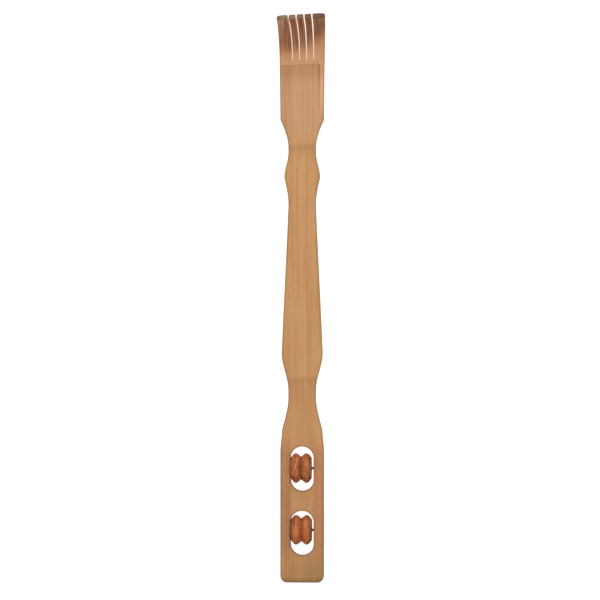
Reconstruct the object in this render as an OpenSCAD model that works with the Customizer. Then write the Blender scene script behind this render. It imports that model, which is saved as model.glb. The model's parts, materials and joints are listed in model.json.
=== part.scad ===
// Bamboo back scratcher with massage beads.
// One waisted strip of bamboo is sawn into fingers at one end and bent there into a claw.
// Two round-ended windows in its handle each hold a pair of turned beads on a cross pin.
// The strip lies on its back: X runs across it, Y from the butt to the claw, and Z up out of
// the face that the claw curls towards. The upper beads and the back of the bend touch the
// ground at Z = 0, and the origin is on the ground below the middle of the strip.

/* [Strip] */
// Length from the butt to the outside of the bend
stick_length = 497; // [490:1:510]
// Width of the handle
handle_width = 38.3; // [37:0.1:42]
// Width at the top corners of the handle
handle_top_width = 35.5; // [32:0.1:37]
// Width of the necks
neck_width = 24.2; // [22:0.1:27]
// Width of the shoulder above the lower neck
shoulder_width = 35.9; // [32:0.1:40]
// Width of the small bulge below the claw
bulge_width = 31.2; // [28:0.1:36]
// Width of the claw where it leaves the upper neck
claw_width = 38.2; // [36:0.1:40]
// Width of the claw where the bend begins
bend_width = 39.9; // [38:0.1:42]
// Width across the fingertips
tip_width = 42.6; // [40:0.2:46]
// Thickness of the handle
handle_thickness = 10; // [8:0.5:12]
// Thickness of the strip where the bend begins
bend_thickness = 5.5; // [5:0.1:7]
// Thickness of the fingertips
tip_thickness = 4.4; // [4:0.1:5]
// Rounding of the long edges
edge_round = 1.8; // [1:0.1:1.9]
// Corner radius of the butt, seen from the front
butt_corner = 6; // [2:0.5:7]

/* [Outline] */
// End of the parallel handle, from the butt
handle_end = 114.5; // [112:0.5:120]
// Top corners of the handle, from the butt
handle_top_at = 134; // [130:0.5:140]
// Middle of the lower neck, from the butt
lower_neck_at = 166; // [160:1:170]
// Length of the lower neck that is parallel
lower_neck_flat = 7; // [3:1:10]
// Widest place of the shoulder, from the butt
shoulder_at = 202.5; // [196:0.5:212]
// Neck at the top of the long taper, from the butt
shaft_neck_at = 330.5; // [324:0.5:338]
// Widest place of the bulge, from the butt
bulge_at = 355.4; // [350:0.1:360]
// Middle of the upper neck, from the butt
upper_neck_at = 379.8; // [376:0.2:386]
// Length of the upper neck that is parallel
upper_neck_flat = 3.6; // [2:0.2:8]
// Place where the claw reaches its full width, from the butt
claw_at = 406.5; // [402:0.5:414]

/* [Claw] */
// Number of fingers
finger_count = 5; // [3:1:5]
// Radius of the bend, at the middle of the thickness
bend_radius = 32; // [26:1:36]
// Angle that the claw is bent through
bend_angle = 75; // [60:1:85]
// Straight end of the fingers past the bend
tip_straight = 3; // [2.6:0.2:6]
// Width of the saw kerfs at their root
kerf_width = 0.5; // [0.5:0.1:1.2]
// Width of the gaps between the fingertips
tip_gap = 1.2; // [0.8:0.1:2]
// Distance from kerf to kerf at their root
kerf_pitch = 6.2; // [5.4:0.1:6.6]
// Distance from kerf to kerf at the tips
tip_pitch = 6.9; // [6:0.1:7.4]
// Sideways place of the row of kerfs at their root
kerf_offset = 0.8; // [-1:0.1:1]
// Sideways place of the row of kerfs at the tips
tip_offset = -0.8; // [-1.5:0.1:1.5]
// Length of the kerfs below the bend, on the front
kerf_root = 6.7; // [6:0.1:10]
// Length over which each kerf runs out through the thickness
kerf_runout = 2.5; // [2.5:0.1:5.5]
// Slope of the bend line across the strip
bend_skew = 0.05; // [0:0.01:0.06]

/* [Windows and beads] */
// Length of each window
window_length = 39.3; // [36:0.1:42]
// Middle of the upper window, from the butt
upper_window_at = 100; // [98:0.1:103]
// Middle of the lower window, from the butt
lower_window_at = 43.5; // [40:0.1:47]
// Upper pin, from the butt
upper_pin_at = 100.4; // [99:0.1:102]
// Lower pin, from the butt
lower_pin_at = 46.1; // [43:0.1:47]
// Diameter of the beads at their crown
bead_diameter = 26; // [22:0.2:27]
// Width of one bead
bead_width = 8.9; // [8:0.1:9.2]
// Free play of a pair of beads along its pin
bead_play = 2.3; // [2:0.1:2.6]
// Rounding of the bead's crown
crown_round = 3; // [2.4:0.1:3.8]
// Steepness of the flank beside the other bead
inner_flank = 39; // [36:1:46]
// Steepness of the flank beside the window
outer_flank = 51; // [46:1:58]
// Sideways place of the upper pair on its pin
upper_shift = -0.9; // [-0.9:0.1:0.9]
// Sideways place of the lower pair on its pin
lower_shift = -0.7; // [-0.9:0.1:0.9]
// Diameter of the axle pins
pin_diameter = 2.2; // [1.6:0.1:3]

/* [Hidden] */

$fn = 64;

bamboo = [0.77, 0.58, 0.40];
red_wood = [0.67, 0.40, 0.25];
dark_steel = [0.26, 0.20, 0.18];

// Pairs of beads: the gap between two beads, and their running clearance on the pin
bead_gap = 0.3;
bore_clearance = 0.08;
bead_edge = 0.3;
bead_radius = bead_diameter / 2;
bead_bore = pin_diameter / 2 + bore_clearance;
window_width = 2 * bead_width + bead_gap + bead_play;

// Pins: driven in from the right edge to a blind end in the left wall
pin_seat = 6;
pin_recess = 0.4;
pin_chamfer = 0.3;
pin_left = -window_width / 2 - pin_seat;
pin_right = handle_width / 2 - pin_recess;

// Claw: length of the bent arc, and where the bend, its kerfs and the strip end along the strip
arc_length = bend_radius * bend_angle * PI / 180;
tip_reach = (bend_radius + tip_thickness / 2) * sin(bend_angle) + tip_straight * cos(bend_angle);
bend_at = stick_length - tip_reach;
kerf_at = bend_at - kerf_root;
strip_end = bend_at + arc_length + tip_straight;
kerf_count = finger_count - 1;
fan_power = 1.5;
tip_corner = 2.5;
tip_round = 1.2;

// Outline of the strip as [place, width, slope before, slope after] where it turns.
// The slopes are those of the whole width, and differ where there is a corner.
handle_drop = -0.53;
taper_slope = -0.08;
bulge_rise = 0.48;
bulge_crest = 0.13;
claw_rise = 0.97;
claw_slope = 0.05;
outline = [
    [0, handle_width, 0, 0],
    [handle_end, handle_width, 0, 0],
    [handle_top_at, handle_top_width, 0, handle_drop],
    [lower_neck_at - lower_neck_flat / 2, neck_width, 0, 0],
    [lower_neck_at + lower_neck_flat / 2, neck_width, 0, 0],
    [shoulder_at, shoulder_width, taper_slope, taper_slope],
    [shaft_neck_at, neck_width, taper_slope, taper_slope],
    [bulge_at, bulge_width, bulge_rise, bulge_crest],
    [upper_neck_at - upper_neck_flat / 2, neck_width, 0, 0],
    [upper_neck_at + upper_neck_flat / 2, neck_width, 0, 0],
    [claw_at, claw_width, claw_rise, claw_slope],
    [bend_at, bend_width, claw_slope, claw_slope],
    [strip_end, tip_width, claw_slope, claw_slope]
];

// Lying on the upper beads and the back of the bend, the strip slopes down to the claw
bend_reach = bend_at - upper_pin_at;
bend_drop = bead_radius - bend_radius - bend_thickness / 2;
lie_angle = atan2(bend_radius, bend_reach) + asin(bend_drop / norm([bend_reach, bend_radius]));
pin_height = bead_radius + upper_pin_at * sin(lie_angle);

// A smooth curve through two outline points, at t from 0 to 1 between them
function curve(a, b, t) =
    let (span = b[0] - a[0], ease = t * t * (3 - 2 * t))
    a[1] + (b[1] - a[1]) * ease + span * (a[3] * t * (1 - t) * (1 - t) - b[2] * t * t * (1 - t));

function width_at(v, i = 0) =
    v <= outline[i + 1][0] || i == len(outline) - 2
        ? curve(outline[i], outline[i + 1], (v - outline[i][0]) / (outline[i + 1][0] - outline[i][0]))
        : width_at(v, i + 1);

// Full thickness to the shoulder, then straight tapers to the bend and to the tips
function thickness_at(v) =
    lookup(v, [[shoulder_at, handle_thickness], [bend_at, bend_thickness], [strip_end, tip_thickness]]);

// How far a corner of radius r draws in at distance d from an end
function corner(d, r) = d >= r ? 0 : r - sqrt(r * r - (r - d) * (r - d));

function half_width(v) =
    width_at(v) / 2 - corner(v, butt_corner) - corner(strip_end - v, tip_corner);

function half_thickness(v) =
    thickness_at(v) / 2 - corner(v, edge_round) - corner(strip_end - v, tip_round);

// Sideways place of a kerf: the row narrows with the strip, and fans out along the bend
function kerf_place(k, v) =
    let (t = max(0, (v - bend_at) / (strip_end - bend_at)), fan = pow(t, fan_power))
    let (middle = kerf_offset + (tip_offset - kerf_offset) * fan)
    let (pitch = kerf_pitch + (tip_pitch - kerf_pitch) * fan)
    (middle + (k - (kerf_count - 1) / 2) * pitch) * min(1, width_at(v) / bend_width);

// Width of a kerf, which opens evenly from its root to the tips
function kerf_gap(v) = lookup(v, [[kerf_at, kerf_width], [strip_end, tip_gap]]);

// Places along the strip where its section is taken
shaft_step = 4;
bend_step = 5;
turns = concat([for (p = outline) if (p[0] > butt_corner && p[0] < kerf_at) p[0]], [kerf_at]);
function spaced(a, b) =
    let (count = ceil((b - a) / shaft_step))
    [for (i = [0:count - 1]) a + (b - a) * i / count];
bend_count = ceil(bend_angle / bend_step);
runout_count = 3;
butt_places = [for (a = [0:18:90]) butt_corner * (1 - cos(a))];
shaft_places = [for (i = [0:len(turns) - 2]) each spaced(turns[i], turns[i + 1])];
runout_places = [for (i = [0:runout_count]) kerf_at + kerf_runout * i / runout_count];
bend_places = [for (i = [0:bend_count]) bend_at + arc_length * i / bend_count];
tip_places = [for (a = [90:-30:0]) strip_end - tip_corner * (1 - cos(a))];
places = concat(butt_places, shaft_places, runout_places, bend_places, tip_places);

// Rows of the grid where the kerfs open on the front and on the back
kerf_front = len(butt_places) + len(shaft_places);
kerf_back = kerf_front + runout_count;

// Upper half of the section at a place, from the left edge to the right, as [sideways, up]
edge_steps = [0:30:90];
edge_count = 4;
least_flat = 0.1;
function section(v) =
    let (w = half_width(v), h = half_thickness(v), r = min(edge_round, h - least_flat))
    let (edge = [for (a = edge_steps) [w - r + r * cos(a), h - r + r * sin(a)]])
    concat(
        [for (p = edge) [-p[0], p[1]]],
        [for (k = [0:kerf_count - 1], side = [-1, 1]) [kerf_place(k, v) + side * kerf_gap(v) / 2, h]],
        [for (i = [edge_count - 1:-1:0]) edge[i]]
    );

// A point of the strip, given along it, across it and through it, put on the bend.
// The skew runs level with the ground, so that the whole back of the bend rests on it.
function bent(v, across, through) =
    let (a = max(0, min(v - bend_at, arc_length)) / arc_length * bend_angle)
    let (past = max(0, v - bend_at - arc_length), r = bend_radius - through)
    let (skew = bend_skew * across * max(0, min(1, (v - claw_at) / (bend_at - claw_at))))
    [
        across,
        min(v, bend_at) + r * sin(a) + past * cos(a) + skew,
        bend_radius - r * cos(a) + past * sin(a) + skew * tan(lie_angle)
    ];

// The strip's surface is a grid of points, with the kerfs left open between the fingers
columns = 2 * edge_count + 2 * kerf_count;
rows = len(places);
front_points = [for (v = places) for (p = section(v)) bent(v, p[0], p[1])];
back_points = [for (v = places) for (p = section(v)) bent(v, p[0], -p[1])];

function front(j, i) = j * columns + i;
function back(j, i) = (rows + j) * columns + i;
function quad(a, b, c, d) = [[a, b, c], [a, c, d]];
function in_kerf(i) = i >= edge_count && i < edge_count + 2 * kerf_count && (i - edge_count) % 2 == 0;

function left_wall(j, i) = quad(front(j, i), back(j, i), back(j + 1, i), front(j + 1, i));
function right_wall(j, i) = quad(front(j, i), front(j + 1, i), back(j + 1, i), back(j, i));

face_faces = [
    for (j = [0:rows - 2]) for (i = [0:columns - 2]) each concat(
        in_kerf(i) && j >= kerf_front
            ? []
            : quad(front(j, i), front(j + 1, i), front(j + 1, i + 1), front(j, i + 1)),
        in_kerf(i) && j >= kerf_back
            ? []
            : quad(back(j, i), back(j, i + 1), back(j + 1, i + 1), back(j + 1, i))
    )
];
edge_faces = [
    for (j = [0:rows - 2]) each concat(left_wall(j, 0), right_wall(j, columns - 1))
];
end_faces = [
    for (i = [0:columns - 2]) each concat(
        quad(front(0, i), front(0, i + 1), back(0, i + 1), back(0, i)),
        in_kerf(i)
            ? []
            : quad(front(rows - 1, i), back(rows - 1, i), back(rows - 1, i + 1), front(rows - 1, i + 1))
    )
];
kerf_faces = [
    for (k = [0:kerf_count - 1]) let (l = edge_count + 2 * k, r = l + 1, f = kerf_front, b = kerf_back)
        each concat(
            quad(front(f, l), back(b, l), back(b, r), front(f, r)),
            [for (j = [f:b - 1]) [back(b, l), front(j, l), front(j + 1, l)]],
            [for (j = [f:b - 1]) [back(b, r), front(j + 1, r), front(j, r)]],
            [for (j = [b:rows - 2]) each concat(right_wall(j, l), left_wall(j, r))]
        )
];

module strip_blank() {
    polyhedron(
        points = concat(front_points, back_points),
        faces = concat(face_faces, edge_faces, end_faces, kerf_faces)
    );
}

module window(at) {
    straight = window_length - window_width;
    translate([0, at, -handle_thickness])
        linear_extrude(height = 2 * handle_thickness) {
            square([window_width, straight], center = true);
            for (end = [-1, 1])
                translate([0, end * straight / 2])
                    circle(d = window_width);
        }
}

module pin_hole(at) {
    translate([pin_left, at, 0])
        rotate([0, 90, 0])
            cylinder(h = handle_width - pin_left, d = pin_diameter);
}

module axle_pin(at) {
    r = pin_diameter / 2;
    length = pin_right - pin_left;
    color(dark_steel)
        translate([pin_left, at, 0])
            rotate([0, 90, 0])
                rotate_extrude()
                    polygon([
                        [0, 0],
                        [r, 0],
                        [r, length - pin_chamfer],
                        [r - pin_chamfer, length],
                        [0, length]
                    ]);
}

// A bead with a rounded crown, straight flanks and small flat sides.
// Its section is [radius, place along the pin], with the other bead of the pair below zero.
crown_steps = 10;
function bead_crown(a) =
    [bead_radius - crown_round + crown_round * cos(a), crown_round * sin(a)];

bead_half = bead_width / 2;
bead_shoulder = bead_half - bead_edge;
inner_end = bead_crown(-inner_flank);
outer_end = bead_crown(outer_flank);
inner_radius = inner_end[0] - (bead_shoulder + inner_end[1]) * tan(inner_flank);
outer_radius = outer_end[0] - (bead_shoulder - outer_end[1]) * tan(outer_flank);
bead_section = concat(
    [[bead_bore, -bead_half], [inner_radius - bead_edge, -bead_half], [inner_radius, -bead_shoulder]],
    [for (i = [-crown_steps:-1]) bead_crown(inner_flank * i / crown_steps)],
    [for (i = [0:crown_steps]) bead_crown(outer_flank * i / crown_steps)],
    [[outer_radius, bead_shoulder], [outer_radius - bead_edge, bead_half], [bead_bore, bead_half]]
);

// A bead on the pin at a place, left (-1) or right (1) of the pair's middle
module bead(at, middle, side) {
    color(red_wood)
        translate([middle + side * (bead_width + bead_gap) / 2, at, 0])
            rotate([0, 90, 0])
                rotate_extrude()
                    polygon([for (p = bead_section) [p[0], side * p[1]]]);
}

// Puts the strip's own frame, with the pins at Z = 0, into its resting pose
module lying() {
    translate([0, -stick_length / 2, pin_height])
        rotate([-lie_angle, 0, 0])
            children();
}

module bamboo_stick() {
    color(bamboo)
        lying()
            difference() {
                strip_blank();
                window(upper_window_at);
                window(lower_window_at);
                pin_hole(upper_pin_at);
                pin_hole(lower_pin_at);
            }
}

module upper_axle_pin() {
    lying() axle_pin(upper_pin_at);
}

module lower_axle_pin() {
    lying() axle_pin(lower_pin_at);
}

module upper_left_bead() {
    lying() bead(upper_pin_at, upper_shift, -1);
}

module upper_right_bead() {
    lying() bead(upper_pin_at, upper_shift, 1);
}

module lower_left_bead() {
    lying() bead(lower_pin_at, lower_shift, -1);
}

module lower_right_bead() {
    lying() bead(lower_pin_at, lower_shift, 1);
}

bamboo_stick();
upper_axle_pin();
lower_axle_pin();
upper_left_bead();
upper_right_bead();
lower_left_bead();
lower_right_bead();
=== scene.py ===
"""Looks of a bamboo back scratcher with massage beads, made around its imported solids.

The strip is meshed flat, in millimetres across, along and through it, then bent at its claw and put
into the frame's metres. The beads are turned about their pins, and the pins keep their solids.
"""

import json
import math
from collections import namedtuple

import bpy
import numpy as np
from mathutils import Matrix, Vector
from mathutils.geometry import delaunay_2d_cdt


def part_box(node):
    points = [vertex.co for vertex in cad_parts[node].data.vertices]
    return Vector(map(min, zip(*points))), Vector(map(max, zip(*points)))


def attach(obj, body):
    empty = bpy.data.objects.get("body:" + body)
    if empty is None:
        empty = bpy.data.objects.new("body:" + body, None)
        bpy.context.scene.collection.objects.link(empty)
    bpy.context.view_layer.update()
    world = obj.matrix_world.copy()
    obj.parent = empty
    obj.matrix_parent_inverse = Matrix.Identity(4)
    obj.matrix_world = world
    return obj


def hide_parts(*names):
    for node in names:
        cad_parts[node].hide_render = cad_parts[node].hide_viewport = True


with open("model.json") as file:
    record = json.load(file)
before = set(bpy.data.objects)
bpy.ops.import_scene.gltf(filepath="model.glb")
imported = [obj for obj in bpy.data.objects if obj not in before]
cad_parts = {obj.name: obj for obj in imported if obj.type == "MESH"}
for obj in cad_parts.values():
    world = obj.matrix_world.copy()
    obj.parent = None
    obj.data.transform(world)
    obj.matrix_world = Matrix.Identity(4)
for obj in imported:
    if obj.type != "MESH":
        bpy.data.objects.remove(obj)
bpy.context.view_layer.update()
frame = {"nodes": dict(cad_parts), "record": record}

MM = 0.001
TINY = 1e-6

# The strip's own axes, from the mount on its butt: across it, along it and up through it
MOUNTS = {m["name"]: m for m in frame["record"]["mounts"]}
BUTT = Vector(MOUNTS["butt_end"]["pos_m"])
ACROSS = Vector((1, 0, 0))
ALONG = -Vector(MOUNTS["butt_end"]["axis"])
THROUGH = ACROSS.cross(ALONG)
AXES = np.array((ACROSS, ALONG, THROUGH))
LIE_SLOPE = -ALONG.z / ALONG.y

# Sizes of the strip, in millimetres: places are measured along it from the butt
STICK_LENGTH = 497
HANDLE_WIDTH = 38.3
HANDLE_TOP_WIDTH = 35.5
NECK_WIDTH = 24.2
SHOULDER_WIDTH = 35.9
BULGE_WIDTH = 31.2
CLAW_WIDTH = 38.2
BEND_WIDTH = 39.9
TIP_WIDTH = 42.6
HANDLE_THICKNESS = 10
BEND_THICKNESS = 5.5
TIP_THICKNESS = 4.4
BUTT_CORNER = 6
TIP_CORNER = 2.5
HANDLE_END = 114.5
HANDLE_TOP_AT = 134
LOWER_NECK = (162.5, 169.5)
SHOULDER_AT = 202.5
SHAFT_NECK_AT = 330.5
BULGE_AT = 355.4
UPPER_NECK = (378, 381.6)
CLAW_AT = 406.5

# Slopes of the strip's width where it turns
HANDLE_DROP = -0.53
TAPER_SLOPE = -0.08
BULGE_RISE = 0.48
BULGE_CREST = 0.13
CLAW_RISE = 0.97
CLAW_SLOPE = 0.05

# The claw
KERF_COUNT = 4
BEND_RADIUS = 32
BEND_ANGLE = math.radians(75)
BEND_SKEW = 0.05
TIP_STRAIGHT = 3
KERF_WIDTH = 0.5
TIP_GAP = 1.2
KERF_PITCH = 6.2
TIP_PITCH = 6.9
KERF_OFFSET = 0.8
TIP_OFFSET = -0.8
FAN_POWER = 1.5
KERF_ROOT = 6.7
KERF_RUNOUT = 2.5
ARC_LENGTH = BEND_RADIUS * BEND_ANGLE
ARC_REACH = (BEND_RADIUS + TIP_THICKNESS / 2) * math.sin(BEND_ANGLE)
TIP_REACH = ARC_REACH + TIP_STRAIGHT * math.cos(BEND_ANGLE)
BEND_AT = STICK_LENGTH - TIP_REACH
KERF_AT = BEND_AT - KERF_ROOT
STRIP_END = BEND_AT + ARC_LENGTH + TIP_STRAIGHT

# The windows, and the pins that cross them in bores with a thin dark gap around
WINDOW_LENGTH = 39.3
WINDOW_WIDTH = 20.4
WINDOWS_AT = (100, 43.5)
PINS = ("upper_axle_pin", "lower_axle_pin")
BORE_GAP = 0.04
BORE_SIDES = 48

# Roundings of the strip's edges, and the half thickness that they leave at least
SIDE_ROUND = 1.8
TIP_ROUND = 1.2
KERF_ROUND = 0.25
WINDOW_ROUND = 0.7
LEAST_FLAT = 0.1

# A shallow planed panel on the claw's face
PANEL_LEFT = -19
PANEL_RIGHT = 15.8
PANEL_FOOT = 412
PANEL_TOP = 455
PANEL_DEPTH = 0.3
PANEL_EDGE = 0.9
PANEL_FADE = 25

# Rings of the bamboo's own nodes on the back
NODE_RINGS = (178, 384)
RING_HEIGHT = 0.35
RING_LENGTH = 2.5
RING_BOW = 0.004

# How far below and above the kerfs' roots the back follows their run-out
RUNOUT_BELOW = 10
RUNOUT_ABOVE = 30

# Mesh of the strip: its spacing, its rows on rounded edges, and their clearance from other edges
EDGE_STEP = 0.9
FACE_STEP = 1.8
CORNER_ANGLES = np.radians(np.linspace(0, 90, 13))
EDGE_ANGLES = np.radians((22.5, 45, 67.5, 90))
PANEL_ROWS = (0, 0.5, 1)
WALL_ROWS = 4
ROW_CLEARANCE = 0.95
PANEL_CLEARANCE = 0.3 * FACE_STEP
LATTICE_CLEARANCE = 0.5 * FACE_STEP
WELD_DIGITS = 2
WHOLE_HULL = 0
STRIP_SHARP = math.radians(48)

# How far the edge marks reach: painted shade at the sides, pale sawn wood with painted light in the
# kerfs, painted shade at the windows
EDGE_SHADE_WIDTH = 2.2
SAWN_AND_LIT_WIDTH = 0.25
WINDOW_EDGE_SHADE_WIDTH = 1.4

# The outline's turns: place, width, and the width's slope before and after
OUTLINE = np.array([
    (0, HANDLE_WIDTH, 0, 0),
    (HANDLE_END, HANDLE_WIDTH, 0, 0),
    (HANDLE_TOP_AT, HANDLE_TOP_WIDTH, 0, HANDLE_DROP),
    (LOWER_NECK[0], NECK_WIDTH, 0, 0),
    (LOWER_NECK[1], NECK_WIDTH, 0, 0),
    (SHOULDER_AT, SHOULDER_WIDTH, TAPER_SLOPE, TAPER_SLOPE),
    (SHAFT_NECK_AT, NECK_WIDTH, TAPER_SLOPE, TAPER_SLOPE),
    (BULGE_AT, BULGE_WIDTH, BULGE_RISE, BULGE_CREST),
    (UPPER_NECK[0], NECK_WIDTH, 0, 0),
    (UPPER_NECK[1], NECK_WIDTH, 0, 0),
    (CLAW_AT, CLAW_WIDTH, CLAW_RISE, CLAW_SLOPE),
    (BEND_AT, BEND_WIDTH, CLAW_SLOPE, CLAW_SLOPE),
    (STRIP_END, TIP_WIDTH, CLAW_SLOPE, CLAW_SLOPE),
])


def ease(t):
    """Goes smoothly from 0 to 1 as t does."""
    t = np.clip(t, 0, 1)
    return t * t * (3 - 2 * t)


def corner(distance, radius):
    """How far a rounded edge draws in at a distance from it."""
    inset = np.clip(radius - distance, 0, radius)
    return radius - np.sqrt(radius * radius - inset * inset)


def width_at(v):
    """Width of the strip: a smooth curve through the outline's turns."""
    i = np.clip(np.searchsorted(OUTLINE[:, 0], v) - 1, 0, len(OUTLINE) - 2)
    start, width, _, slope = OUTLINE[i].T
    end, next_width, next_slope, _ = OUTLINE[i + 1].T
    span = end - start
    t = (v - start) / span
    bend = slope * t * (1 - t) ** 2 - next_slope * t * t * (1 - t)
    return width + (next_width - width) * ease(t) + span * bend


def half_width(v):
    return width_at(v) / 2 - corner(v, BUTT_CORNER) - corner(STRIP_END - v, TIP_CORNER)


def half_thickness(v):
    places = (SHOULDER_AT, BEND_AT, STRIP_END)
    return np.interp(v, places, (HANDLE_THICKNESS, BEND_THICKNESS, TIP_THICKNESS)) / 2


def kerf_edge(k, v, side):
    """Sideways place of a kerf's wall: the row of kerfs fans out along the bend."""
    fan = np.clip((v - BEND_AT) / (STRIP_END - BEND_AT), 0, 1) ** FAN_POWER
    middle = KERF_OFFSET + (TIP_OFFSET - KERF_OFFSET) * fan
    pitch = KERF_PITCH + (TIP_PITCH - KERF_PITCH) * fan
    place = (middle + (k - (KERF_COUNT - 1) / 2) * pitch) * np.minimum(1, width_at(v) / BEND_WIDTH)
    return place + side * np.interp(v, (KERF_AT, STRIP_END), (KERF_WIDTH, TIP_GAP)) / 2


def steps(start, end, step):
    """Even places from start to end, about a step apart."""
    return np.linspace(start, end, max(2, math.ceil(abs(end - start) / step) + 1))


def pairs(x, v):
    """Points from places across and along, of which one may be a single number."""
    return np.stack(np.broadcast_arrays(np.asarray(x, float), np.asarray(v, float)), 1)


def outer_loop():
    """The strip's flat outline with its kerfs, anticlockwise: points and each edge's rounding."""
    butt = BUTT_CORNER * (1 - np.cos(CORNER_ANGLES))
    straight = steps(BUTT_CORNER, STRIP_END - TIP_CORNER, EDGE_STEP)[1:-1]
    tip = STRIP_END - TIP_CORNER * (1 - np.cos(CORNER_ANGLES[::-1]))
    side = np.concatenate([butt, straight, tip])
    kerf = steps(STRIP_END, KERF_AT, EDGE_STEP)
    runs = [(pairs(half_width(side), side), SIDE_ROUND)]

    def add_tip(end):
        """Adds a fingertip's edge, from where the last run ends."""
        start = runs[-1][0][-1, 0]
        runs.append((pairs(steps(start, end, EDGE_STEP), STRIP_END), TIP_ROUND))

    for k in reversed(range(KERF_COUNT)):
        right = kerf_edge(k, kerf, 1)
        left = kerf_edge(k, kerf, -1)
        add_tip(right[0])
        runs.append((pairs(right, kerf), KERF_ROUND))
        runs.append((pairs(left[::-1], kerf[::-1]), KERF_ROUND))
    add_tip(-half_width(STRIP_END))
    runs.append((pairs(-half_width(side[::-1]), side[::-1]), SIDE_ROUND))
    runs.append((pairs(steps(-half_width(0.0), half_width(0.0), EDGE_STEP), 0), SIDE_ROUND))
    points = np.concatenate([p for p, r in runs])
    radii = np.concatenate([np.full(len(p), r) for p, r in runs])
    fresh = np.linalg.norm(points - np.roll(points, 1, 0), axis=1) > TINY
    return points[fresh], radii[fresh]


def window_loop(at):
    """A window's flat outline, clockwise: points and each edge's rounding."""
    straight = (WINDOW_LENGTH - WINDOW_WIDTH) / 2
    radius = WINDOW_WIDTH / 2
    turns = steps(0, math.pi, EDGE_STEP / radius)
    top = pairs(-radius * np.cos(turns), at + straight + radius * np.sin(turns))
    right = pairs(radius, steps(at + straight, at - straight, EDGE_STEP)[1:-1])
    points = np.concatenate([top, right, (0, 2 * at) - top, (0, 2 * at) - right])
    return points, np.full(len(points), WINDOW_ROUND)


class Edges:
    """Flat edges of the strip, with the measures that the mesh takes from them.

    REACH is the longest distance that is measured, and CHUNK the number of points taken at once.
    """

    REACH = 4.0
    CHUNK = 300

    def __init__(self, starts, ends, radii):
        self.starts = starts
        self.ends = ends
        self.radii = radii

    @classmethod
    def around(cls, loops):
        """The edges of closed loops, each given as points and roundings."""
        starts = np.concatenate([p for p, r in loops])
        ends = np.concatenate([np.roll(p, -1, 0) for p, r in loops])
        return cls(starts, ends, np.concatenate([r for p, r in loops]))

    def near(self, radius, points, reach):
        """From 1 on the edges of one rounding to 0 at a distance from them."""
        kept = self.radii == radius
        some = Edges(self.starts[kept], self.ends[kept], self.radii[kept])
        return 1 - ease(some.measure(points)[1] / reach)

    def measure(self, points):
        """Of each point: is it inside, how far is the nearest edge, how far do edges draw it in."""
        inside = np.zeros(len(points), bool)
        distance = np.full(len(points), self.REACH)
        drop = np.zeros(len(points))
        low = np.minimum(self.starts[:, 1], self.ends[:, 1]) - self.REACH
        high = np.maximum(self.starts[:, 1], self.ends[:, 1]) + self.REACH
        order = np.argsort(points[:, 1])
        for chunk in np.array_split(order, math.ceil(len(points) / self.CHUNK)):
            point = points[chunk][:, None]
            near = (high > point[..., 1].min()) & (low < point[..., 1].max())
            if not near.any():
                continue
            start, end, radii = self.starts[near], self.ends[near], self.radii[near]
            along = end - start
            share = np.clip(((point - start) * along).sum(2) / (along * along).sum(1), 0, 1)
            gap = np.linalg.norm(point - start - share[..., None] * along, axis=2)
            distance[chunk] = np.minimum(gap.min(1), self.REACH)
            drop[chunk] = corner(gap, radii).max(1)
            crosses = (start[:, 1] > point[..., 1]) != (end[:, 1] > point[..., 1])
            rise = np.where(along[:, 1] == 0, 1, along[:, 1])
            at = start[:, 0] + (point[..., 1] - start[:, 1]) / rise * along[:, 0]
            inside[chunk] = (crosses & (at > point[..., 0])).sum(1) % 2 == 1
        return inside, distance, drop


def beside(loop, radii):
    """Rows of points beside a loop, where its rounded edge turns, with their distance from it."""
    tangent = np.roll(loop, -1, 0) - np.roll(loop, 1, 0)
    normal = np.stack([-tangent[:, 1], tangent[:, 0]], 1) / np.linalg.norm(tangent, axis=1)[:, None]
    for angle in EDGE_ANGLES:
        inset = radii * (1 - np.cos(angle))
        yield loop + normal * inset[:, None], inset


def panel_rim():
    """Rows of points on the top and right edges of the planed panel."""
    across = steps(PANEL_LEFT, PANEL_RIGHT, FACE_STEP / 2)
    along = steps(PANEL_FOOT, PANEL_TOP, FACE_STEP / 2)
    top = [pairs(across, PANEL_TOP - PANEL_EDGE * t) for t in PANEL_ROWS]
    right = [pairs(PANEL_RIGHT - PANEL_EDGE * t, along) for t in PANEL_ROWS]
    return np.concatenate(top + right)


def lattice():
    """Even points over the whole strip, with each second row half a step further right."""
    v = np.arange(FACE_STEP / 2, STRIP_END, FACE_STEP * math.sqrt(3) / 2)
    x = np.arange(-TIP_WIDTH / 2, TIP_WIDTH / 2, FACE_STEP)
    return np.concatenate([pairs(x + FACE_STEP / 2 * (j % 2), at) for j, at in enumerate(v)])


def face_points(edges, loops):
    """Points of the flat face: its loops, the rows beside them, the panel's rim and a lattice."""
    rows = [p for p, r in loops]
    for loop, radii in loops:
        for points, inset in beside(loop, radii):
            inside, distance, _ = edges.measure(points)
            rows.append(points[inside & (distance > ROW_CLEARANCE * inset)])
    for points, clearance in ((panel_rim(), PANEL_CLEARANCE), (lattice(), LATTICE_CLEARANCE)):
        inside, distance, drop = edges.measure(points)
        rows.append(points[inside & (distance > clearance) & (drop < TINY)])
    points = np.concatenate(rows)
    _, first = np.unique(np.round(points, WELD_DIGITS), axis=0, return_index=True)
    return points[np.sort(first)]


def triangles(edges, loops):
    """The flat face as points and triangles."""
    points = face_points(edges, loops)
    index = {tuple(p): i for i, p in enumerate(np.round(points, WELD_DIGITS))}
    rings = [[index[tuple(p)] for p in np.round(loop, WELD_DIGITS)] for loop, r in loops]
    sides = [(a, b) for ring in rings for a, b in zip(ring, ring[1:] + ring[:1])]
    corners = [Vector(p) for p in points]
    flat, _, faces, *_ = delaunay_2d_cdt(corners, sides, [], WHOLE_HULL, TINY, False)
    flat = np.array([tuple(p) for p in flat])
    faces = np.array(faces)
    inside = edges.measure(flat[faces].mean(1))[0]
    return flat, faces[inside]


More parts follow.
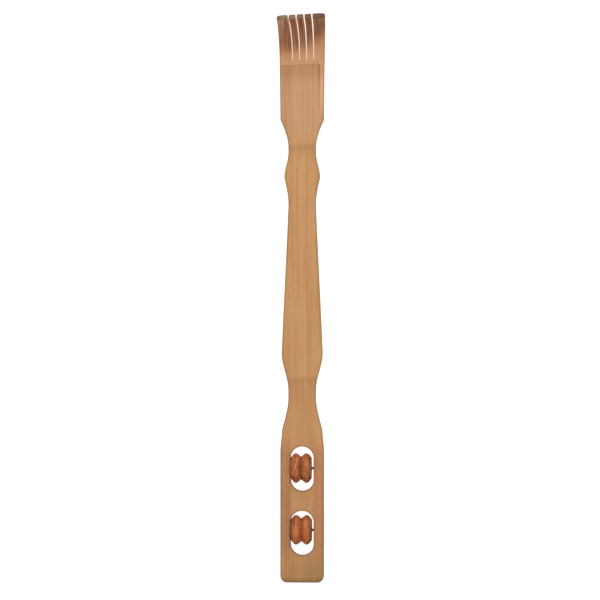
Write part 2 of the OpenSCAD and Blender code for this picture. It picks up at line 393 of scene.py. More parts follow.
def rims(faces):
    """Directed sides of triangles that only one triangle has."""
    sides = np.concatenate([faces[:, [0, 1]], faces[:, [1, 2]], faces[:, [2, 0]]])
    both = {tuple(s) for s in sides}
    return np.array([s for s in sides if (s[1], s[0]) not in both])


def bent(points):
    """Strip places (across, along, through), in millimetres, put on the bend."""
    x, v, w = points.T
    angle = np.clip(v - BEND_AT, 0, ARC_LENGTH) / BEND_RADIUS
    past = np.maximum(0, v - BEND_AT - ARC_LENGTH)
    radius = BEND_RADIUS - w
    skew = BEND_SKEW * x * np.clip((v - CLAW_AT) / (BEND_AT - CLAW_AT), 0, 1)
    y = np.minimum(v, BEND_AT) + radius * np.sin(angle) + past * np.cos(angle) + skew
    z = BEND_RADIUS - radius * np.cos(angle) + past * np.sin(angle) + skew * LIE_SLOPE
    return np.stack([x, y, z], 1)


def unbent(points):
    """Strip places (across, along, through) of points on the bent strip, in millimetres."""
    x, y, z = points.T
    skew = BEND_SKEW * x * np.clip((y - CLAW_AT) / (BEND_AT - CLAW_AT), 0, 1)
    y, z = y - skew, z - skew * LIE_SLOPE
    ahead, below = y - BEND_AT, BEND_RADIUS - z
    angle = np.arctan2(ahead, below)
    tip_along = ahead * math.cos(BEND_ANGLE) - below * math.sin(BEND_ANGLE)
    tip_radius = ahead * math.sin(BEND_ANGLE) + below * math.cos(BEND_ANGLE)
    v = np.where(ahead < 0, y, BEND_AT + BEND_RADIUS * angle)
    w = np.where(ahead < 0, z, BEND_RADIUS - np.hypot(ahead, below))
    past = (angle > BEND_ANGLE) & (ahead > 0)
    v = np.where(past, BEND_AT + ARC_LENGTH + tip_along, v)
    w = np.where(past, BEND_RADIUS - tip_radius, w)
    return np.stack([x, v, w], 1)


def to_frame(points):
    """Points in the strip's axes, in millimetres, as the frame's metres."""
    return np.array(BUTT) + points @ AXES * MM


def from_frame(points):
    """The frame's metres as points in the strip's axes, in millimetres."""
    return (points - np.array(BUTT)) @ AXES.T / MM


def panel_depth(x, v):
    """Depth of the planed panel on the claw's face, which fades towards the neck."""
    along = ease((PANEL_TOP - v) / PANEL_EDGE) * ease((v - PANEL_FOOT) / PANEL_FADE)
    return PANEL_DEPTH * along * ease((PANEL_RIGHT - x) / PANEL_EDGE)


def ring_height(x, v):
    """Height of the bamboo's node rings on the back, which bow a little across it."""
    bow = RING_BOW * x * x
    return sum(RING_HEIGHT * np.exp(-(((v + bow - at) / RING_LENGTH) ** 2)) for at in NODE_RINGS)


def back_places(flat):
    """The back's flat points: the kerfs run out there, so their roots lie further along."""
    x, v = flat.T
    below = ease((v - KERF_AT + RUNOUT_BELOW) / RUNOUT_BELOW)
    above = ease((KERF_AT + RUNOUT_ABOVE - v) / RUNOUT_ABOVE)
    moved = v + KERF_RUNOUT * below * above
    return x * half_width(moved) / half_width(v), moved


def new_object(name, vertices, faces):
    mesh = bpy.data.meshes.new(name)
    mesh.from_pydata([tuple(p) for p in vertices], [], [tuple(int(i) for i in f) for f in faces])
    mesh.validate()
    obj = bpy.data.objects.new(name, mesh)
    bpy.context.scene.collection.objects.link(obj)
    return obj


def coordinates(obj):
    co = np.zeros(3 * len(obj.data.vertices), np.float32)
    obj.data.vertices.foreach_get("co", co)
    return co.reshape(-1, 3).astype(float)


def set_attribute(obj, name, values):
    """Stores a number or a vector for each vertex, which the materials read."""
    kind, field = ("FLOAT", "value") if values.ndim == 1 else ("FLOAT_VECTOR", "vector")
    attribute = obj.data.attributes.new(name, kind, "POINT")
    attribute.data.foreach_set(field, values.astype(np.float32).ravel())


def smooth_shading(obj, sharp_angle):
    obj.data.polygons.foreach_set("use_smooth", [True] * len(obj.data.polygons))
    obj.data.set_sharp_from_angle(angle=sharp_angle)


def rod(name, start, end, at, radius):
    """A closed rod across the strip, from start to end in millimetres, as a cutter."""
    turns = 2 * math.pi * np.arange(BORE_SIDES) / BORE_SIDES
    ring = np.stack([np.cos(turns) * radius + at, np.sin(turns) * radius], 1)
    points = np.concatenate([np.insert(ring, 0, x, 1) for x in (start, end)])
    following = [(i + 1) % BORE_SIDES for i in range(BORE_SIDES)]
    around = [(i, j, j + BORE_SIDES, i + BORE_SIDES) for i, j in enumerate(following)]
    ends = [tuple(reversed(range(BORE_SIDES))), tuple(range(BORE_SIDES, 2 * BORE_SIDES))]
    return new_object(name, to_frame(points), around + ends)


def cut(obj, cutter):
    """Takes the cutter's volume out of the object, and the cutter out of the scene."""
    modifier = obj.modifiers.new("bore", "BOOLEAN")
    modifier.operation = "DIFFERENCE"
    modifier.solver = "EXACT"
    modifier.object = cutter
    evaluated = obj.evaluated_get(bpy.context.evaluated_depsgraph_get())
    mesh = bpy.data.meshes.new_from_object(evaluated)
    obj.modifiers.clear()
    obj.data = mesh
    bpy.data.objects.remove(cutter)


def strip_surface(edges, loops):
    """The straight strip as points (across, along, through) and faces: front, back and walls."""
    flat, faces = triangles(edges, loops)
    x, v = flat.T
    back_x, back_v = back_places(flat)
    drop = np.minimum(edges.measure(flat)[2], half_thickness(v) - LEAST_FLAT)
    front = np.stack([x, v, half_thickness(v) - drop - panel_depth(x, v)], 1)
    behind = drop - half_thickness(back_v) - ring_height(back_x, back_v)
    back = np.stack([back_x, back_v, behind], 1)
    sides = rims(faces)
    rim = np.unique(sides)
    shares = np.linspace(0, 1, WALL_ROWS + 2)[1:-1]
    wall = [front[rim] + (back[rim] - front[rim]) * t for t in shares]
    count = len(flat)
    row = np.full(count, -1)
    row[rim] = np.arange(len(rim))
    levels = [np.arange(count)]
    levels += [2 * count + i * len(rim) + row for i in range(WALL_ROWS)]
    levels += [count + np.arange(count)]
    start, end = sides.T
    quads = [
        np.stack([upper[end], upper[start], lower[start], lower[end]], 1)
        for upper, lower in zip(levels, levels[1:])
    ]
    points = np.concatenate([front, back, *wall])
    return points, [*faces, *(faces[:, ::-1] + count), *np.concatenate(quads)]


def drill_bores(obj):
    """Cuts the pins' bores, from each pin's blind end out through the right edge."""
    for pin in PINS:
        low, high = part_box(pin)
        middle = from_frame(np.array([(low + high) / 2]))[0]
        radius = (high.z - low.z) / 2 / MM
        cut(obj, rod("bore", low.x / MM, HANDLE_WIDTH, middle[1], radius + BORE_GAP))


def bamboo_strip():
    """The bamboo strip with its windows, kerfs and bores, as one closed mesh."""
    loops = [outer_loop()] + [window_loop(at) for at in WINDOWS_AT]
    edges = Edges.around(loops)
    points, faces = strip_surface(edges, loops)
    obj = new_object("bamboo_strip", to_frame(bent(points)), faces)
    drill_bores(obj)
    places = unbent(from_frame(coordinates(obj)))
    set_attribute(obj, "strip", places)
    # Painted shade along the rounded side edges
    set_attribute(obj, "rim", edges.near(SIDE_ROUND, places[:, :2], EDGE_SHADE_WIDTH))
    # Pale sawn wood on the kerf walls, made paler as painted light seen through the slits
    set_attribute(obj, "sawn", edges.near(KERF_ROUND, places[:, :2], SAWN_AND_LIT_WIDTH))
    # Painted shade along the window edges
    set_attribute(obj, "window_edge_shade", edges.near(WINDOW_ROUND, places[:, :2], WINDOW_EDGE_SHADE_WIDTH))
    smooth_shading(obj, STRIP_SHARP)
    return obj


# Beads: the same section as their solids, with a finer crown and softened edges
CROWN_ROUND = 3
INNER_FLANK = math.radians(39)
OUTER_FLANK = math.radians(51)
BEAD_EDGE = 0.3
EDGE_MIDDLE = (0.3 * BEAD_EDGE, 0.4 * BEAD_EDGE)
BEAD_BORE = 1.18
BEAD_TURNS = 144
CROWN_STEPS = 24
BEAD_SHARP = math.radians(35)

# What differs from bead to bead: the side away from the pair's other bead, -1 for the left, the
# lean of its grain in degrees, the seed of its noises, the place of its knot, and its tint
Bead = namedtuple("Bead", "outer lean seed knot tint")
BEADS = {
    "upper_left_bead": Bead(-1, 18, 3, (-1.5, -7, 9.5), (1.06, 0.96, 0.78, 1)),
    "upper_right_bead": Bead(1, -8, 11, (-3.5, -7.5, 8), (0.95, 0.9, 0.7, 1)),
    "lower_left_bead": Bead(-1, 4, 23, (3, 9, -9), (1.1, 1.02, 0.74, 1)),
    "lower_right_bead": Bead(1, -4, 37, (3, -9, 7), (1.06, 1.04, 0.8, 1)),
}


def bead_flank(half, crown_end, slope):
    """A flank from the crown's end down to the bore, as rows of place and radius."""
    place, radius = crown_end
    shoulder = half - BEAD_EDGE
    side = radius - (shoulder - place) * math.tan(slope)
    return np.array([
        ((place + shoulder) / 2, (radius + side) / 2),
        (shoulder, side),
        (half - EDGE_MIDDLE[0], side - EDGE_MIDDLE[1]),
        (half, side - BEAD_EDGE),
        (half, (side + BEAD_BORE) / 2),
        (half, BEAD_BORE + BEAD_EDGE),
        (half - BEAD_EDGE, BEAD_BORE),
    ])


def bead_section(half, radius, outer):
    """A bead's closed section, as rows of place along its axis and radius."""
    turns = np.linspace(-INNER_FLANK, OUTER_FLANK, CROWN_STEPS)
    crown = pairs(CROWN_ROUND * np.sin(turns), radius - CROWN_ROUND + CROWN_ROUND * np.cos(turns))
    inwards = bead_flank(half, crown[0] * (-1, 1), INNER_FLANK)[::-1] * (-1, 1)
    outwards = bead_flank(half, crown[-1], OUTER_FLANK)
    return (np.concatenate([inwards, crown, outwards]) * (outer, 1))[::outer]


def turned_bead(node, outer):
    """A turned bead in place of its solid, riding on its own body."""
    low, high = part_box(node)
    centre = (low + high) / 2
    section = bead_section((high.x - low.x) / 2 / MM, (high.z - low.z) / 2 / MM, outer)
    turns = 2 * math.pi * np.arange(BEAD_TURNS) / BEAD_TURNS
    local = np.stack([
        np.broadcast_to(section[:, 0], (BEAD_TURNS, len(section))),
        np.outer(np.cos(turns), section[:, 1]),
        np.outer(np.sin(turns), section[:, 1]),
    ], 2).reshape(-1, 3)
    grid = np.arange(len(local)).reshape(BEAD_TURNS, len(section))
    turned = np.roll(grid, -1, 0)
    faces = np.stack([grid, turned, np.roll(turned, -1, 1), np.roll(grid, -1, 1)], 2).reshape(-1, 4)
    obj = new_object(node.replace("_bead", "_turned_bead"), np.array(centre) + local * MM, faces)
    set_attribute(obj, "grain", local)
    smooth_shading(obj, BEAD_SHARP)
    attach(obj, node)
    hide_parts(node)
    return obj


# The sRGB curve: straight up to its knee, and a power above it
SRGB_STEPS = 255
SRGB_KNEE = 0.04045
SRGB_SLOPE = 12.92
SRGB_LIFT = 0.055
SRGB_POWER = 2.4


def linear(red, green, blue):
    """A colour given in sRGB steps, as linear light."""
    def channel(step):
        share = step / SRGB_STEPS
        if share <= SRGB_KNEE:
            return share / SRGB_SLOPE
        return ((share + SRGB_LIFT) / (1 + SRGB_LIFT)) ** SRGB_POWER
    return (channel(red), channel(green), channel(blue), 1)


# A noise: the sizes of its grains along the three axes, and how many finer layers it has
Grain = namedtuple("Grain", "sizes detail")


class Nodes:
    """A material's node tree, with short calls for the nodes that it uses.

    MIX_FROM, MIX_TO and MIX_RESULT are the colour sockets of a Mix node, whose names repeat.
    """

    MIX_FROM = 6
    MIX_TO = 7
    MIX_RESULT = 2

    def __init__(self, name):
        self.material = bpy.data.materials.new(name)
        self.material.use_nodes = True
        self.tree = self.material.node_tree
        self.tree.nodes.clear()

    def add(self, kind, inputs, **settings):
        """Adds a node with its settings, and links its inputs or sets them to constants."""
        node = self.tree.nodes.new(kind)
        for name, value in settings.items():
            setattr(node, name, value)
        for name, value in inputs.items():
            if isinstance(value, bpy.types.NodeSocket):
                self.tree.links.new(value, node.inputs[name])
            else:
                node.inputs[name].default_value = value
        return node

    def attribute(self, name):
        return self.add("ShaderNodeAttribute", {}, attribute_name=name)

    def place(self):
        return self.add("ShaderNodeTexCoord", {}).outputs["Object"]

    def split(self, vector):
        return self.add("ShaderNodeSeparateXYZ", {0: vector}).outputs

    def vector(self, operation, a, b):
        return self.add("ShaderNodeVectorMath", {0: a, 1: b}, operation=operation).outputs

    def number(self, operation, a, b=0.0):
        return self.add("ShaderNodeMath", {0: a, 1: b}, operation=operation).outputs[0]

    def total(self, *terms):
        """Sum of values, each with its weight."""
        made = 0.0
        for value, weight in terms:
            made = self.number("ADD", made, self.number("MULTIPLY", value, weight))
        return made

    def noise(self, vector, grain, offset=(0, 0, 0)):
        """Noise from 0 to 1, moved by an offset that is counted in grains."""
        stretched = self.vector("MULTIPLY", vector, tuple(1 / size for size in grain.sizes))[0]
        moved = self.vector("ADD", stretched, offset)[0]
        inputs = {"Vector": moved, "Scale": 1.0, "Detail": grain.detail}
        return self.add("ShaderNodeTexNoise", inputs).outputs[0]

    def ramp(self, value, low, high):
        """Goes smoothly from 0 to 1 as value goes from low to high, which may be the smaller."""
        if low > high:
            return self.number("SUBTRACT", 1.0, self.ramp(value, high, low))
        inputs = {"Value": value, "From Min": low, "From Max": high}
        return self.add("ShaderNodeMapRange", inputs, interpolation_type="SMOOTHSTEP").outputs[0]

    def product(self, *factors):
        made = factors[0]
        for factor in factors[1:]:
            made = self.number("MULTIPLY", made, factor)
        return made

    def mix(self, factor, a, b, blend="MIX"):
        """Goes from colour a to colour b as factor goes from 0 to 1."""
        inputs = {0: factor, self.MIX_FROM: a, self.MIX_TO: b}
        node = self.add("ShaderNodeMix", inputs, data_type="RGBA", blend_type=blend)
        return node.outputs[self.MIX_RESULT]

    def tint(self, colour, factor, by):
        """Multiplies a colour by another, as far as a factor from 0 to 1 says."""
        return self.mix(factor, colour, by, "MULTIPLY")

    def bump(self, height, depth):
        return self.add("ShaderNodeBump", {"Height": height, "Distance": depth}).outputs[0]

    def surface(self, **inputs):
        named = {name.replace("_", " "): value for name, value in inputs.items()}
        shader = self.add("ShaderNodeBsdfPrincipled", named)
        self.add("ShaderNodeOutputMaterial", {0: shader.outputs[0]})
        return self.material


# Bamboo: its noises over places across, along and through the strip, in millimetres
BAMBOO_GRAINS = {
    "fibre": Grain((0.5, 45, 0.5), 4),
    "streak": Grain((3.2, 160, 3), 2),
    "mottle": Grain((14, 38, 10), 3),
    "wobble": Grain((6, 30, 6), 2),
    "blotch": Grain((2.6, 6, 4), 3),
    "speckle": Grain((1.1, 2.6, 2), 2),
    "bundle": Grain((0.34, 7, 0.34), 1),
}

# Bamboo: values that are sums of others, by their weights
BAMBOO_SUMS = {
    "tone": {"fibre": 0.3, "streak": 0.4, "mottle": 0.3},
    "char_tone": {"streak": 0.2, "fibre": 0.8},
    "relief": {"fibre": 0.7, "bundle": 0.3},
    "wavy_along": {"along": 1.0, "wobble": 5.0},
    "heat": {
        "along": 1.0,
        "across": -0.33,
        "across_squared": -0.02,
        "fibre": 9.0,
        "streak": 3.0,
        "wobble": 2.0,
    },
}

# Bamboo: its colours
WOOD_DEEP = linear(184, 131, 80)
WOOD_PALE = linear(207, 155, 103)
BUNDLE_BROWN = linear(128, 82, 48)
CHAR_DEEP = linear(86, 48, 28)
CHAR_PALE = linear(170, 116, 80)
SAWN_TIP_LEFT = linear(125, 110, 91)
SAWN_TIP_RIGHT = linear(106, 71, 55)
# Pale sawn wood of the kerfs, made paler as painted light seen through the slits
SAWN_KERF_AND_LIGHT = linear(255, 212, 160)
# Painted shade along the rounded side edges
EDGE_SHADE_TINT = (0.66, 0.69, 0.74, 1)
# Painted shade along the window edges
WINDOW_EDGE_SHADE_TINT = (0.64, 0.64, 0.66, 1)

# Bamboo: how strongly the wood takes on a colour
BUNDLE_STRENGTH = 0.35
SCORCH_STRENGTH = 0.88
SAWN_TIP_STRENGTH = 0.85
# Strength of the painted shade along the side edges
EDGE_SHADE_STRENGTH = 0.8

# Bamboo: areas, each bounded by ramps of a value, from where it is absent to where it is full
HANDLE = [("along", 145, 110)]
INSIDE_BEND = [("through", -3.5, 0.5)]
WINDOW_SIDES = [("off_middle", 8.5, 12), ("along", 16, 34), ("along", 134, 108)]
PALE_WOOD = [("tone", 0.3, 0.7)]
PALE_CHAR = [("char_tone", 0.33, 0.67)]
BUNDLES = [("bundle", 0.62, 0.72), ("mottle", 0.4, 0.65)]
TOASTED = [("heat", 462, 481)] + INSIDE_BEND
SCORCHED = [("heat", 470, 485)] + INSIDE_BEND
SAWN_TIPS = [("along", 505.6, 507.4)]
RIGHT_TIPS = [("across", -16, 16)]
# Where the kerf walls take pale sawn wood with painted light
SAWN_AND_LIT_KERFS = [("along", 453, 461), ("along", 507.6, 506.6)]

# Bamboo: roughness and depth of its relief
BAMBOO_ROUGHNESS = 0.46
FIBRE_ROUGHNESS = 0.2
SCORCH_ROUGHNESS = 0.05
BAMBOO_RELIEF = 0.06 * MM
BAMBOO_GLOSS = 0.3

# A mark on the bamboo: the tint that multiplies its colour, its area and its strength
Mark = namedtuple("Mark", "tint area strength", defaults=(1.0,))

# The claw is pinker than the shaft, and the handle a little darker, most at its butt; the butt's rounded
# end takes painted shade
STRETCHES = {
    "claw": Mark((0.97, 1.01, 1.25, 1), [("along", 375, 415)]),
    "handle": Mark((0.95, 0.95, 1.04, 1), [("along", 150, 100)]),
    "butt": Mark((0.88, 0.91, 0.78, 1), [("along", 32, 8)]),
    "butt_right": Mark((0.86, 0.88, 0.92, 1), [("along", 40, 10), ("across", -4, 14)]),
    # Painted shade on the butt's rounded end
    "butt_end": Mark((0.74, 0.72, 0.68, 1), [("along", 6, 1.5)]),
}

# Darker wood beside the windows, less dark on the right, and patches all over the handle
HANDLE_MARKS = {
    "window_sides": Mark((0.81, 0.76, 0.76, 1), WINDOW_SIDES),
    "window_right": Mark((1.1, 1.04, 1.02, 1), WINDOW_SIDES + [("across", 8, 12)]),
    "red_blotches": Mark((1.1, 0.92, 0.82, 1), HANDLE + [("blotch", 0.5, 0.66)]),
    "green_blotches": Mark((0.9, 1.0, 0.9, 1), HANDLE + [("blotch", 0.5, 0.34)]),
    "pale_specks": Mark((1.12, 1.1, 1.12, 1), HANDLE + [("speckle", 0.56, 0.7)]),
    "dark_specks": Mark((0.86, 0.86, 0.88, 1), HANDLE + [("speckle", 0.44, 0.3)]),
}

# The claw's face: streaks below the kerfs, a painted highlight on its right edge, painted shade at the
# panel's edge and a scratch
STREAKS_BELOW = [("along", 436, 450), ("along", 456, 454.5), ("fibre", 0.2, 0.65)]
# Painted highlight on the claw's right edge
RIGHT_EDGE_HIGHLIGHT = [("across", 15.4, 16.6), ("along", 405, 425), ("along", 458, 454)]
# Painted shade along the panel's edge
PANEL_SIDE_SHADE = [("across", 13.6, 15.2), ("across", 16.2, 15.6), ("along", 425, 446), ("along", 456, 454.5)]
SCRATCH = [("across", -13.7, -13.4), ("across", -12.9, -13.2), ("along", 455, 457), ("along", 463, 460)]
CLAW_MARKS = {
    "streaks_below": Mark((0.82, 0.74, 0.64, 1), STREAKS_BELOW),
    # Painted highlight on the claw's right edge
    "right_edge_highlight": Mark((1.3, 1.3, 1.34, 1), RIGHT_EDGE_HIGHLIGHT),
    # Painted shade along the panel's edge
    "panel_side_shade": Mark((0.82, 0.78, 0.86, 1), PANEL_SIDE_SHADE),
    "scratch": Mark((1.18, 1.18, 1.2, 1), SCRATCH),
}

# The bend is toasted around its scorch, which differs from finger to finger
TOAST_MARKS = {"toast": Mark((0.84, 0.74, 0.66, 1), TOASTED)}
OUTER_FINGERS = [("off_middle", 10, 15)]
LEFT_FINGER = [("across", -11.5, -16)]
SECOND_FINGER = [("across", -12, -11), ("across", -4, -5)]
FOURTH_FINGER = [("across", 2, 3), ("across", 10, 9)]
LEFT_FOOT = [("across", -8, -11), ("along", 464, 468.5), ("along", 484, 475)] + INSIDE_BEND
CHAR_MARKS = {
    "left_finger": Mark((1.46, 1.48, 1.56, 1), LEFT_FINGER),
    "outer_ends": Mark((1.14, 1.2, 1.26, 1), OUTER_FINGERS + [("along", 496, 503)]),
    "left_end": Mark((1.12, 1.42, 1.7, 1), LEFT_FINGER + [("along", 478, 500)]),
    "second_end": Mark((1.3, 1.13, 1.1, 1), SECOND_FINGER + [("along", 486, 492)]),
    "fourth_end": Mark((0.86, 0.88, 0.93, 1), FOURTH_FINGER + [("along", 480, 486)]),
}
FOOT_MARKS = {"left_foot": Mark((0.89, 0.82, 0.77, 1), LEFT_FOOT)}

# At each neck a band of painted shade, sharp above and fading below, with a darker line of painted shade
# in it
NECK_SHADE_TINT = (0.88, 0.87, 0.86, 1)
BAND_TOP = (1.5, -2.5)
BAND_FULL = -4
NECK_LINE_SHADE_TINT = (0.92, 0.88, 0.85, 1)
LINE_TOP = (1, -2)
LINE_FOOT = (-7, -4)


def neck_shade_band(name, top, length, strength):
    """The painted shade of one neck's band and of its line."""
    def ramp(absent, full):
        return ("wavy_along", top + absent, top + full)
    return {
        name + "_band": Mark(NECK_SHADE_TINT, [ramp(*BAND_TOP), ramp(-length, BAND_FULL)], strength),
        name + "_line": Mark(NECK_LINE_SHADE_TINT, [ramp(*LINE_TOP), ramp(*LINE_FOOT)], strength),
    }


UPPER_BAND = neck_shade_band("upper", top=388, length=20, strength=0.8)
LOWER_BAND = neck_shade_band("lower", top=183, length=44, strength=0.7)


class Bamboo(Nodes):
    """Node tree of the bamboo, with its values by name."""

    def __init__(self):
        super().__init__("bamboo")
        strip = self.attribute("strip").outputs["Vector"]
        across, along, through = self.split(strip)
        self.values = {
            "across": across,
            "along": along,
            "through": through,
            "off_middle": self.number("ABSOLUTE", across),
            "across_squared": self.product(across, across),
        }
        for name in ("rim", "sawn", "window_edge_shade"):
            self.values[name] = self.attribute(name).outputs["Fac"]
        for name, grain in BAMBOO_GRAINS.items():
            self.values[name] = self.noise(strip, grain)
        for name, weights in BAMBOO_SUMS.items():
            terms = [(self.values[value], weight) for value, weight in weights.items()]
            self.values[name] = self.total(*terms)

    def extent(self, area):
        """From 0 outside an area to 1 where it is full."""
        return self.product(*(self.ramp(self.values[name], low, high) for name, low, high in area))

    def marked(self, colour, marks):
        """A colour with marks on it, each in a node that is labelled with its name."""
        for name, mark in marks.items():
            factor = self.product(self.extent(mark.area), mark.strength)
            colour = self.tint(colour, factor, mark.tint)
            colour.node.label = name
        return colour


def bamboo():
    """Sanded bamboo: lengthwise fibres, painted shade at the necks, a scorched bend and painted shade
    along its edges.
    """
    wood = Bamboo()
    colour = wood.mix(wood.extent(PALE_WOOD), WOOD_DEEP, WOOD_PALE)
    colour = wood.marked(colour, STRETCHES | HANDLE_MARKS)
    # Short dark bundles of fibre
    colour = wood.mix(wood.product(wood.extent(BUNDLES), BUNDLE_STRENGTH), colour, BUNDLE_BROWN)
    # Painted shade in bands at the necks, then the claw's marks with their painted highlight and shade
    colour = wood.marked(colour, UPPER_BAND | LOWER_BAND | CLAW_MARKS)
    # Scorched inside the bend, from lower down on the left and in the middle
    scorch = wood.extent(SCORCHED)
    char = wood.mix(wood.extent(PALE_CHAR), CHAR_DEEP, CHAR_PALE)
    char = wood.marked(char, CHAR_MARKS)
    colour = wood.marked(colour, TOAST_MARKS)
    colour = wood.mix(wood.product(scorch, SCORCH_STRENGTH), colour, char)
    colour = wood.marked(colour, FOOT_MARKS)
    # Sawn ends, greyer on the left; painted shade along the side and window edges; pale sawn kerfs with
    # painted light
    sawn_tip = wood.mix(wood.extent(RIGHT_TIPS), SAWN_TIP_LEFT, SAWN_TIP_RIGHT)
    colour = wood.mix(wood.product(wood.extent(SAWN_TIPS), SAWN_TIP_STRENGTH), colour, sawn_tip)
    # Painted shade along the side edges
    colour = wood.tint(colour, wood.product(wood.values["rim"], EDGE_SHADE_STRENGTH), EDGE_SHADE_TINT)
    # Painted shade along the window edges
    colour = wood.tint(colour, wood.values["window_edge_shade"], WINDOW_EDGE_SHADE_TINT)
    # Pale sawn kerf walls with painted light from the slits
    colour = wood.mix(wood.product(wood.values["sawn"], wood.extent(SAWN_AND_LIT_KERFS)), colour, SAWN_KERF_AND_LIGHT)
    roughness = wood.total(
        (wood.values["fibre"], FIBRE_ROUGHNESS),
        (scorch, SCORCH_ROUGHNESS),
        (1.0, BAMBOO_ROUGHNESS),
    )
    return wood.surface(
        Base_Color=colour,
        Roughness=roughness,
        Normal=wood.bump(wood.values["relief"], BAMBOO_RELIEF),
        Specular_IOR_Level=BAMBOO_GLOSS,
    )


# Red wood of the beads: its noises, with X along the bead's axis, in millimetres
BEAD_FIBRE = Grain((0.45, 7, 1.5), 4)
BEAD_BAND = Grain((1.7, 22, 4), 2)
BEAD_MOTTLE = Grain((5, 9, 5), 2)
BEAD_PORE = Grain((0.3, 3.5, 0.6), 1)

# Red wood: shares of its noises in the colour and in the relief
FIBRE_SHARE = 0.4
BAND_SHARE = 0.6
FIBRE_RELIEF = 0.6
PORE_RELIEF = -0.8

# Red wood: its colours, and how strongly the wood takes on two of them
RED_DEEP = linear(122, 62, 32)
RED_PALE = linear(206, 132, 84)
RED_PATCH = linear(188, 96, 50)
PORE_BROWN = linear(78, 34, 16)
KNOT_BROWN = linear(70, 32, 18)
# Darker flanks: end grain with painted shade; more painted shade on the outer flank by the window's wall
FLANK_GRAIN_AND_SHADE = (0.86, 0.8, 0.76, 1)
OUTER_FLANK_SHADE = (0.84, 0.8, 0.76, 1)
PORE_STRENGTH = 0.5
KNOT_STRENGTH = 0.8

# Red wood: where each colour is absent and where it is full, by noise or in millimetres
PALE_RANGE = (0.32, 0.68)
PATCH_RANGE = (0.45, 0.75)
PORE_RANGE = (0.64, 0.74)
KNOT_RANGE = (4.6, 2.0)
KNOT_RAGGED = 3.0
FLANK_RANGE = (12.3, 10.6)
OUTER_RANGE = (-1.0, 2.5)

# Red wood: roughness and depth of its relief
BEAD_ROUGHNESS = 0.4
BEAD_FIBRE_ROUGHNESS = 0.2
BEAD_RELIEF = 0.05 * MM
BEAD_GLOSS = 0.35


def red_wood(name, bead):
    """Lacquered red wood of a bead: leaning grain, growth bands and a dark knot."""
    wood = Nodes(name)
    local = wood.attribute("grain").outputs["Vector"]
    turn = {"Vector": local, "Axis": (0, 0, 1), "Angle": math.radians(bead.lean)}
    grain = wood.add("ShaderNodeVectorRotate", turn, rotation_type="AXIS_ANGLE").outputs[0]
    fibre = wood.noise(grain, BEAD_FIBRE, (bead.seed, 0, 0))
    band = wood.noise(grain, BEAD_BAND, (0, bead.seed, 0))
    mottle = wood.noise(grain, BEAD_MOTTLE, (0, 0, bead.seed))
    pore = wood.ramp(wood.noise(grain, BEAD_PORE, (bead.seed, bead.seed, 0)), *PORE_RANGE)
    tone = wood.total((fibre, FIBRE_SHARE), (band, BAND_SHARE))
    colour = wood.mix(wood.ramp(tone, *PALE_RANGE), RED_DEEP, RED_PALE)
    colour = wood.mix(wood.ramp(mottle, *PATCH_RANGE), colour, RED_PATCH)
    colour = wood.mix(wood.product(pore, PORE_STRENGTH), colour, PORE_BROWN)
    from_knot = wood.vector("DISTANCE", local, bead.knot)["Value"]
    knot = wood.ramp(wood.total((from_knot, 1.0), (fibre, KNOT_RAGGED)), *KNOT_RANGE)
    colour = wood.mix(wood.product(knot, KNOT_STRENGTH), colour, KNOT_BROWN)
    # The flanks are darker, end grain with painted shade, and the side away from the pair's other bead,
    # by the window's wall, has more painted shade
    along, up, out = wood.split(local)
    radius = wood.number("SQRT", wood.total((wood.product(up, up), 1.0), (wood.product(out, out), 1.0)))
    flank = wood.ramp(radius, *FLANK_RANGE)
    outside = wood.ramp(along, *(bead.outer * place for place in OUTER_RANGE))
    colour = wood.tint(colour, flank, FLANK_GRAIN_AND_SHADE)
    colour = wood.tint(colour, wood.product(flank, outside), OUTER_FLANK_SHADE)
    colour = wood.tint(colour, 1.0, bead.tint)
    return wood.surface(
        Base_Color=colour,
        Roughness=wood.total((fibre, BEAD_FIBRE_ROUGHNESS), (1.0, BEAD_ROUGHNESS)),
        Normal=wood.bump(wood.total((fibre, FIBRE_RELIEF), (pore, PORE_RELIEF)), BEAD_RELIEF),
        Specular_IOR_Level=BEAD_GLOSS,
    )


# Dark steel of the pins
DRAWN_RINGS = Grain((0.12 * MM, 3 * MM, 3 * MM), 2)
TARNISH = Grain((1.5 * MM, 1 * MM, 1 * MM), 3)
TARNISH_RANGE = (0.35, 0.65)
STEEL_DEEP = linear(84, 56, 42)
STEEL_PALE = linear(122, 84, 60)
STEEL_METALLIC = 0.7
STEEL_ROUGHNESS = 0.35
RING_ROUGHNESS = 0.25
STEEL_RELIEF = 0.02 * MM


def dark_steel():
    """Darkened drawn wire: fine rings along the pin and brown tarnish."""
    steel = Nodes("dark_steel")
    place = steel.place()
    rings = steel.noise(place, DRAWN_RINGS)
    tarnish = steel.noise(place, TARNISH)
    return steel.surface(
        Base_Color=steel.mix(steel.ramp(tarnish, *TARNISH_RANGE), STEEL_DEEP, STEEL_PALE),
        Metallic=STEEL_METALLIC,
        Roughness=steel.total((rings, RING_ROUGHNESS), (1.0, STEEL_ROUGHNESS)),
        Normal=steel.bump(rings, STEEL_RELIEF),
    )


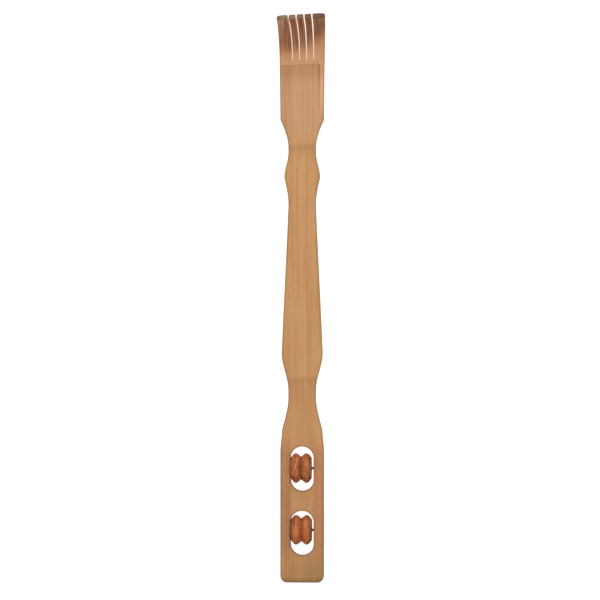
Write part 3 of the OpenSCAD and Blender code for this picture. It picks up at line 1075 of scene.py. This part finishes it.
# Stage: a pale floor, in metres, soft light and a far camera a little to the right
FLOOR_SIZE = 60.0
FLOOR_GAP = 0.0003
FLOOR_CLOUD = Grain((0.4, 0.4, 0.4), 2)
FLOOR_DEEP = (0.42, 0.42, 0.42, 1)
FLOOR_PALE = (0.46, 0.46, 0.46, 1)
FLOOR_GLOW = 0.88
FLOOR_ROUGHNESS = 0.8
FLOOR_GLOSS = 0.2
WHITE = (1, 1, 1, 1)
WORLD_LIGHT = 0.42
Light = namedtuple("Light", "place side power")
LIGHTS = {
    "key": Light((0.4, 1.0, 1.9), 1.0, 26),
    "fill": Light((-0.9, -0.5, 1.8), 1.4, 6),
}
CAMERA_DISTANCE = 2.0
CAMERA_YAW = math.radians(3)
IMAGE_SIDE = 600
PIXEL_SIZE = 0.88 * MM
SENSOR_WIDTH = 36
VIEW_ACROSS = -2.0 * MM
VIEW_ALONG = 248.3 * MM


def pale_floor():
    paint = Nodes("pale_floor")
    return paint.surface(
        Base_Color=paint.mix(paint.noise(paint.place(), FLOOR_CLOUD), FLOOR_DEEP, FLOOR_PALE),
        Roughness=FLOOR_ROUGHNESS,
        Specular_IOR_Level=FLOOR_GLOSS,
        Emission_Color=WHITE,
        Emission_Strength=FLOOR_GLOW,
    )


def floor():
    side = FLOOR_SIZE / 2
    corners = [(x * side, y * side, -FLOOR_GAP) for x, y in ((-1, -1), (1, -1), (1, 1), (-1, 1))]
    obj = new_object("floor", corners, [(0, 1, 2, 3)])
    obj.data.materials.append(pale_floor())


def camera():
    back = ACROSS * math.sin(CAMERA_YAW) + THROUGH * math.cos(CAMERA_YAW)
    right = ALONG.cross(back)
    target = BUTT + ACROSS * VIEW_ACROSS + ALONG * VIEW_ALONG
    data = bpy.data.cameras.new("camera")
    data.sensor_width = SENSOR_WIDTH
    data.lens = SENSOR_WIDTH * CAMERA_DISTANCE / (IMAGE_SIDE * PIXEL_SIZE)
    obj = bpy.data.objects.new("camera", data)
    bpy.context.scene.collection.objects.link(obj)
    turn = Matrix((right, ALONG, back)).transposed().to_4x4()
    obj.matrix_world = Matrix.Translation(target + back * CAMERA_DISTANCE) @ turn
    bpy.context.scene.camera = obj


def soft_light(name, light):
    """A square soft light that faces the middle of the object."""
    data = bpy.data.lights.new(name, "AREA")
    data.size = light.side
    data.energy = light.power
    obj = bpy.data.objects.new(name, data)
    obj.location = light.place
    obj.rotation_euler = (-Vector(light.place)).to_track_quat("-Z", "Y").to_euler()
    obj.visible_camera = False
    bpy.context.scene.collection.objects.link(obj)


def studio():
    world = bpy.data.worlds.new("studio")
    world.use_nodes = True
    background = world.node_tree.nodes["Background"]
    background.inputs["Color"].default_value = WHITE
    background.inputs["Strength"].default_value = WORLD_LIGHT
    bpy.context.scene.world = world
    for name, light in LIGHTS.items():
        soft_light(name, light)
    bpy.context.scene.view_settings.view_transform = "Standard"


def main():
    camera()
    floor()
    studio()
    strip = bamboo_strip()
    strip.data.materials.clear()
    strip.data.materials.append(bamboo())
    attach(strip, "stick")
    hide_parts("bamboo_stick")
    for node, bead in BEADS.items():
        turned = turned_bead(node, bead.outer)
        turned.data.materials.append(red_wood("red_wood_" + node, bead))
    steel = dark_steel()
    for pin in PINS:
        mesh = frame["nodes"][pin].data
        mesh.materials.clear()
        mesh.materials.append(steel)


main()
